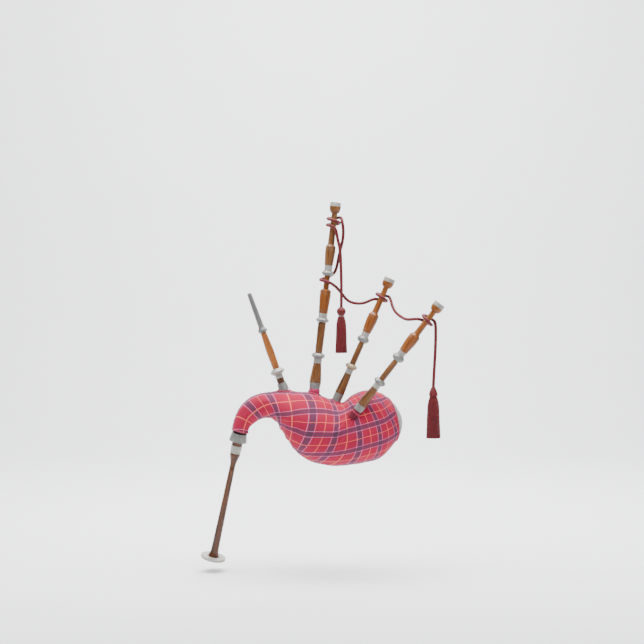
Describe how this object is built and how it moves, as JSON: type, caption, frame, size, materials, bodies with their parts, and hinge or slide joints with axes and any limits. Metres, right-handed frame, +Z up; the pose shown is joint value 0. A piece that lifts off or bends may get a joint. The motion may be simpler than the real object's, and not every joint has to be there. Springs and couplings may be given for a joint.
{
  "type": "bagpipes",
  "caption": "Highland-style bagpipes with tartan bag, blowpipe, chanter, bass and tenor drones, drone cord and tassels.",
  "frame": {"origin": "middle of the bag, where the player's arm holds it, in the playing position", "axes": "+Z up with the bass drone, +X from the bag's neck towards its tail, -Y to the front, the side seen with the chanter at the left"},
  "size_m": [0.7249, 0.2314, 1.0884],
  "materials": {
    "tartan": "woven wool tartan, matt",
    "collar_cloth": "wool cloth, matt",
    "hide": "pale hide, matt",
    "cord_silk": "twisted silk cord, soft sheen",
    "brown_wood": "oiled hardwood, satin",
    "dark_wood": "oiled dark hardwood, satin",
    "grey_mount": "turned grey imitation horn, polished",
    "cream_ferrule": "turned imitation ivory, polished",
    "dark_plastic": "dark grey plastic, satin",
    "cane": "cane, matt",
    "hemp": "waxed hemp thread, matt",
    "valve_rubber": "soft rubber, matt"
  },
  "bodies": {
    "bag": {"bag_cover": "tartan", "hide_bag": "hide", "bass_cover_collar": "collar_cloth", "outer_tenor_cover_collar": "collar_cloth", "drone_cord": "cord_silk", "bass_stock": "brown_wood", "bass_stock_ferrule": "cream_ferrule", "bass_stock_ring": "grey_mount", "inner_tenor_stock": "brown_wood", "inner_tenor_stock_ferrule": "cream_ferrule", "inner_tenor_stock_ring": "grey_mount", "outer_tenor_stock": "brown_wood", "outer_tenor_stock_ferrule": "cream_ferrule", "outer_tenor_stock_ring": "grey_mount", "blowpipe_stock": "dark_wood", "blowpipe_stock_ferrule": "cream_ferrule", "blowpipe_stock_ring": "grey_mount", "chanter_stock": "dark_wood", "chanter_stock_ferrule": "cream_ferrule", "chanter_stock_ring": "grey_mount"},
    "bass_bottom": {"bass_bottom_joint": "brown_wood", "bass_bottom_mount": "grey_mount", "bass_reed": "cane", "bass_tenon_hemp": "hemp", "bass_lower_pin_hemp": "hemp"},
    "bass_middle": {"bass_middle_joint": "brown_wood", "bass_middle_ferrule": "cream_ferrule", "bass_middle_mount": "grey_mount", "bass_upper_pin_hemp": "hemp"},
    "bass_top": {"bass_top_joint": "brown_wood", "bass_top_ferrule": "cream_ferrule", "bass_top_mount": "grey_mount", "bass_ring_cap": "cream_ferrule"},
    "inner_tenor_bottom": {"inner_tenor_bottom_joint": "brown_wood", "inner_tenor_bottom_mount": "cream_ferrule", "inner_tenor_pin_hemp": "hemp", "inner_tenor_reed": "cane"},
    "inner_tenor_top": {"inner_tenor_top_joint": "brown_wood", "inner_tenor_top_ferrule": "cream_ferrule", "inner_tenor_top_mount": "grey_mount", "inner_tenor_ring_cap": "cream_ferrule"},
    "outer_tenor_bottom": {"outer_tenor_bottom_joint": "brown_wood", "outer_tenor_bottom_mount": "grey_mount", "outer_tenor_pin_hemp": "hemp", "outer_tenor_reed": "cane"},
    "outer_tenor_top": {"outer_tenor_top_joint": "brown_wood", "outer_tenor_top_ferrule": "cream_ferrule", "outer_tenor_top_mount": "grey_mount", "outer_tenor_ring_cap": "cream_ferrule"},
    "blowpipe": {"blowpipe": "brown_wood", "blowpipe_mount": "cream_ferrule"},
    "mouthpiece": {"mouthpiece": "dark_plastic"},
    "valve": {"blowpipe_valve": "valve_rubber"},
    "chanter": {"chanter": "dark_wood", "chanter_sole": "cream_ferrule", "chanter_reed": "cane"},
    "inner_tassel": {"inner_tassel_knot": "cord_silk", "inner_tassel_skirt": "cord_silk"},
    "outer_tassel": {"outer_tassel_knot": "cord_silk", "outer_tassel_skirt": "cord_silk"}
  },
  "joints": [
    {"name": "bass_turn", "type": "hinge", "parent": "bag", "child": "bass_bottom", "pos_m": [-0.06602, 0, 0.21524], "axis": [0.1137, 0, 0.9935], "continuous": true},
    {"name": "bass_lower_slide", "type": "slide", "parent": "bass_bottom", "child": "bass_middle", "axis": [0.1137, 0, 0.9935], "range_m": [0, 0.008]},
    {"name": "bass_upper_slide", "type": "slide", "parent": "bass_middle", "child": "bass_top", "axis": [0.1137, 0, 0.9935], "range_m": [0, 0.025]},
    {"name": "inner_tenor_turn", "type": "hinge", "parent": "bag", "child": "inner_tenor_bottom", "pos_m": [0.0308, 0, 0.18356], "axis": [0.4027, 0, 0.9153], "continuous": true},
    {"name": "inner_tenor_slide", "type": "slide", "parent": "inner_tenor_bottom", "child": "inner_tenor_top", "axis": [0.4027, 0, 0.9153], "range_m": [0, 0.02]},
    {"name": "outer_tenor_turn", "type": "hinge", "parent": "bag", "child": "outer_tenor_bottom", "pos_m": [0.11082, -0.08857, 0.14352], "axis": [0.6003, -0.1197, 0.7908], "continuous": true},
    {"name": "outer_tenor_slide", "type": "slide", "parent": "outer_tenor_bottom", "child": "outer_tenor_top", "axis": [0.6003, -0.1197, 0.7908], "range_m": [0, 0.02]},
    {"name": "blowpipe_turn", "type": "hinge", "parent": "bag", "child": "blowpipe", "pos_m": [-0.18429, 0, 0.166], "axis": [-0.3412, 0, 0.94], "continuous": true},
    {"name": "mouthpiece_turn", "type": "hinge", "parent": "blowpipe", "child": "mouthpiece", "pos_m": [-0.23035, 0, 0.2929], "axis": [-0.3412, 0, 0.94], "continuous": true},
    {"name": "valve_flap", "type": "hinge", "parent": "blowpipe", "child": "valve", "pos_m": [-0.17712, 0, 0.12573], "axis": [0, 1, 0], "range_deg": [0, 45], "stiffness_Nm_per_rad": 0.001},
    {"name": "chanter_turn", "type": "hinge", "parent": "bag", "child": "chanter", "pos_m": [-0.31455, 0.00836, -0.0697], "axis": [0.2118, -0.1327, 0.9683], "continuous": true},
    {"name": "inner_tassel_swing", "type": "hinge", "parent": "bag", "child": "inner_tassel", "pos_m": [0.0036, -0.012, 0.37], "axis": [1, 0, 0], "range_deg": [-30, 30]},
    {"name": "outer_tassel_swing", "type": "hinge", "parent": "bag", "child": "outer_tassel", "pos_m": [0.269, -0.118, 0.1374], "axis": [1, 0, 0], "range_deg": [-30, 30]}
  ]
}
